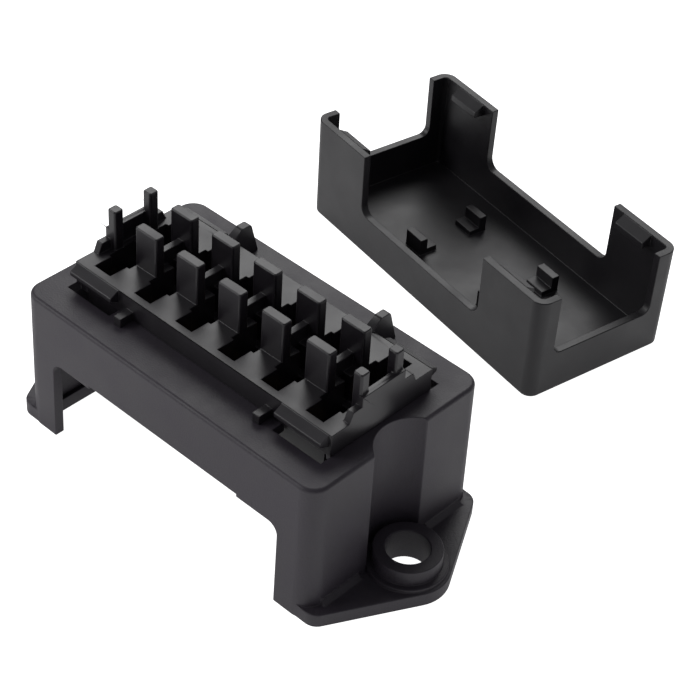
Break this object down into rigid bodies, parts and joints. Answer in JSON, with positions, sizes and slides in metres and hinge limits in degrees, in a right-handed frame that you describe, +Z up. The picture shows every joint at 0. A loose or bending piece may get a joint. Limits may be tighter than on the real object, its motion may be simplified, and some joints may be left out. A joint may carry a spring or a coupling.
{
  "type": "fuse box",
  "caption": "Surface-mounted blade-fuse box: flanged open-bottomed housing, carrier with a row of fuse bays and crimp terminals, and a clip-on cover lying beside it, open side up.",
  "frame": {"origin": "midway between the two fixing screws, on the plane that the ears and feet stand on", "axes": "+X along the row of fuses and through both screw holes, +Y across the box towards the cover, +Z up out of the mounting surface"},
  "size_m": [0.1012, 0.1263, 0.045],
  "materials": {
    "housing_plastic": "fine spark-eroded grain",
    "carrier_plastic": "smooth satin moulding",
    "cover_plastic": "smooth satin moulding",
    "brass": "plain strip"
  },
  "bodies": {
    "base": {"housing": "housing_plastic", "fuse_carrier": "carrier_plastic", "terminal_front_1": "brass", "terminal_back_1": "brass", "terminal_front_2": "brass", "terminal_back_2": "brass", "terminal_front_3": "brass", "terminal_back_3": "brass", "terminal_front_4": "brass", "terminal_back_4": "brass", "terminal_front_5": "brass", "terminal_back_5": "brass", "terminal_front_6": "brass", "terminal_back_6": "brass"},
    "cover": {"cover": "cover_plastic"}
  },
  "joints": [
    {"name": "cover_lift", "type": "slide", "parent": "base", "child": "cover", "axis": [0, 0, 1], "range_m": [0, 0.08]}
  ]
}
